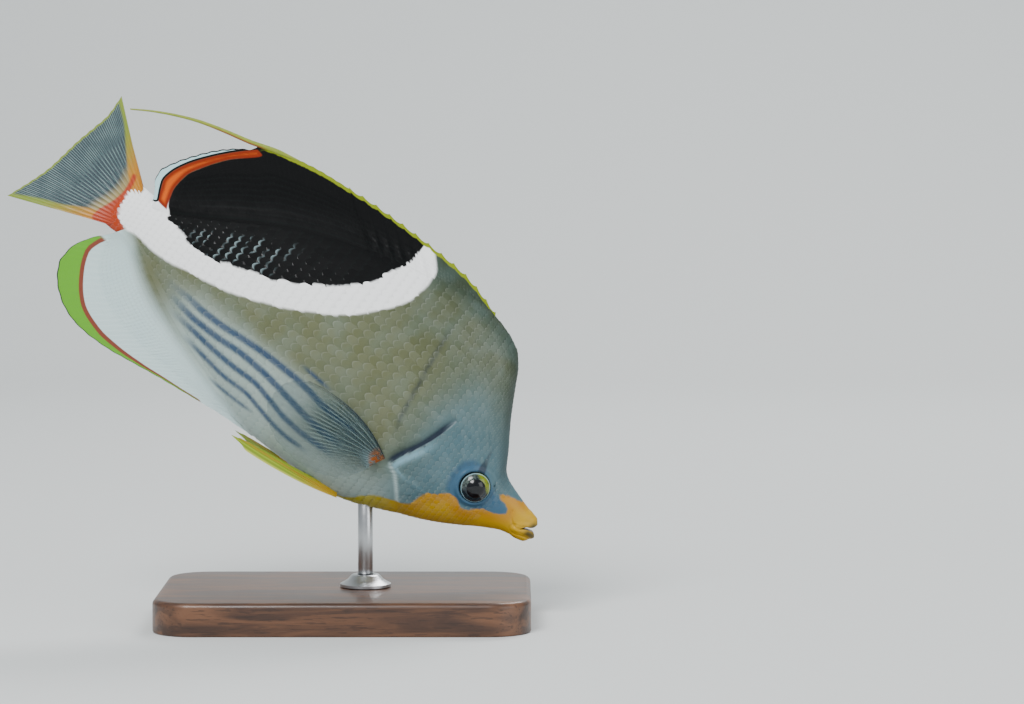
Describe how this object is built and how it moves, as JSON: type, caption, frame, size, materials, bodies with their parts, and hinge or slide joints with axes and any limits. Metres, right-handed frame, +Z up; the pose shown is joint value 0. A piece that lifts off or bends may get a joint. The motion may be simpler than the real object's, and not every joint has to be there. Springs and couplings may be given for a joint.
{
  "type": "butterflyfish display model",
  "caption": "Life-size blackblotch butterflyfish with a trailing dorsal filament, swimming nose-down and held over a flat display base by a short rod.",
  "frame": {"origin": "centre of the display base's underside, on the surface that it stands on", "axes": "+Z up, +X the way the fish's nose points as it swims head down, +Y towards the fish's left flank; the fish's middle plane is y = 0"},
  "size_m": [0.1767, 0.082, 0.1749],
  "materials": {
    "face_skin": "moist scaled skin, grey-blue",
    "flank_skin": "moist scaled skin, olive-grey",
    "yellow_skin": "moist skin, golden yellow",
    "white_skin": "moist scaled skin, white",
    "black_skin": "moist scaled skin, black",
    "clear_fin": "thin clear membrane with pale rays",
    "eye": "glossy, black pupil in a gold and blue iris",
    "dark_wood": "satin varnish",
    "steel": "satin"
  },
  "bodies": {
    "root": {"head": "face_skin", "lower_jaw": "yellow_skin", "gill_cover_left": "face_skin", "gill_cover_right": "face_skin", "eye_left": "eye", "eye_right": "eye", "trunk": "flank_skin", "tail_stalk": "white_skin", "dorsal_fin_spiny": "yellow_skin", "dorsal_fin_soft": "black_skin", "dorsal_filament": "yellow_skin", "anal_fin": "white_skin", "tail_fin": "clear_fin", "pectoral_fin_left": "clear_fin", "pectoral_fin_right": "clear_fin", "pelvic_fin_left": "yellow_skin", "pelvic_fin_right": "yellow_skin", "stand_base": "dark_wood", "stand_collar": "steel", "stand_rod": "steel"}
  },
  "joints": []
}
